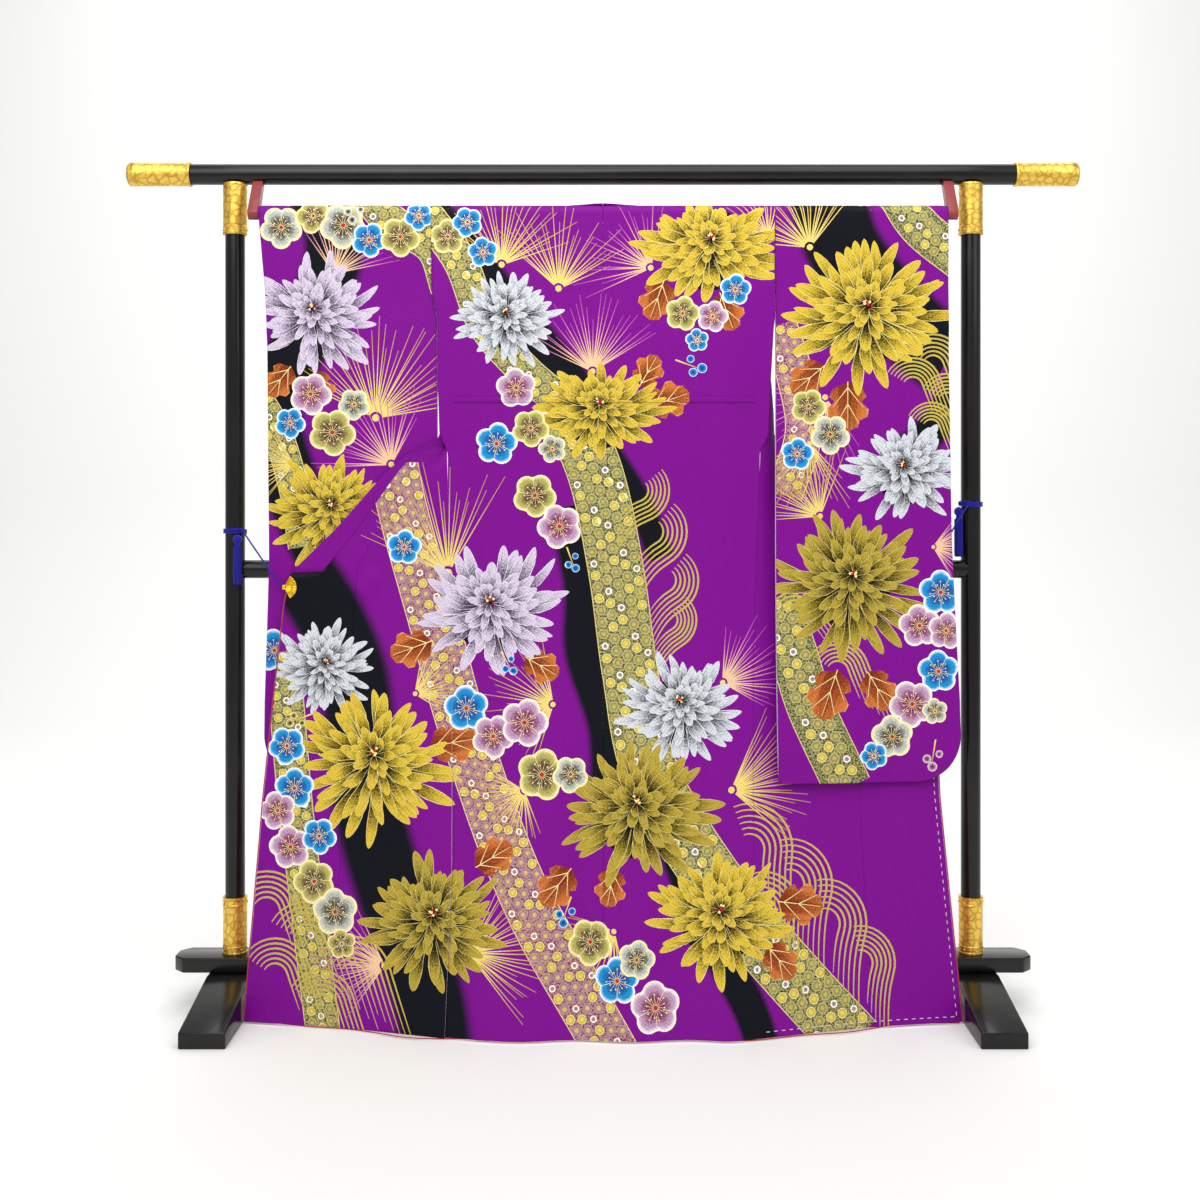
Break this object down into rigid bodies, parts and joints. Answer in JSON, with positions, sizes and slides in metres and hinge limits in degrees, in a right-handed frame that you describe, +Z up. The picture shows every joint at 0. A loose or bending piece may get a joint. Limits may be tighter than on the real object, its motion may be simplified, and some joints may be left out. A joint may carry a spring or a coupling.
{
  "type": "furisode on kimono stand",
  "caption": "Long-sleeved lined silk robe opened out and hung back to the viewer over a pole on a two-post lacquered stand, its fronts held out sideways by fan clips on cords.",
  "frame": {"origin": "on the floor, at the middle of the stand's footprint, midway between its posts", "axes": "+X along the crossbar to the viewer's right, +Y away from the viewer of the robe's back, +Z up"},
  "size_m": [1.8726, 0.52, 1.6568],
  "materials": {
    "printed_silk": "figured silk satin, dyed and printed, soft sheen",
    "edging_silk": "plain red silk, satin",
    "black_lacquer": "gloss black lacquer on wood",
    "gilt_fitting": "polished gilt",
    "red_lacquer": "satin dull-red lacquer on wood",
    "blue_cord": "matt blue twisted cord"
  },
  "bodies": {
    "root": {"back_left": "printed_silk", "back_right": "printed_silk", "bottom_ferrule_left": "gilt_fitting", "bottom_ferrule_right": "gilt_fitting", "clip_cord_left": "blue_cord", "clip_cord_right": "blue_cord", "collar_left": "printed_silk", "collar_right": "printed_silk", "cord_wrap_left": "blue_cord", "cord_wrap_right": "blue_cord", "crossbar": "black_lacquer", "crossbar_cap_left": "gilt_fitting", "crossbar_cap_right": "gilt_fitting", "edging_hem": "edging_silk", "edging_left": "edging_silk", "edging_right": "edging_silk", "fan_clip_left": "gilt_fitting", "fan_clip_right": "gilt_fitting", "foot_beam_left": "black_lacquer", "foot_beam_right": "black_lacquer", "foot_plate_left": "black_lacquer", "foot_plate_right": "black_lacquer", "front_left": "printed_silk", "front_right": "printed_silk", "hanging_pole": "red_lacquer", "lower_bar": "black_lacquer", "okumi_left": "printed_silk", "okumi_right": "printed_silk", "pole_arm_left": "red_lacquer", "pole_arm_right": "red_lacquer", "post_left": "black_lacquer", "post_right": "black_lacquer", "sleeve_back_left": "printed_silk", "sleeve_back_right": "printed_silk", "sleeve_front_left": "printed_silk", "sleeve_front_right": "printed_silk", "tassel_left": "blue_cord", "tassel_right": "blue_cord", "top_ferrule_left": "gilt_fitting", "top_ferrule_right": "gilt_fitting", "tuck_left": "printed_silk", "tuck_right": "printed_silk"}
  },
  "joints": []
}
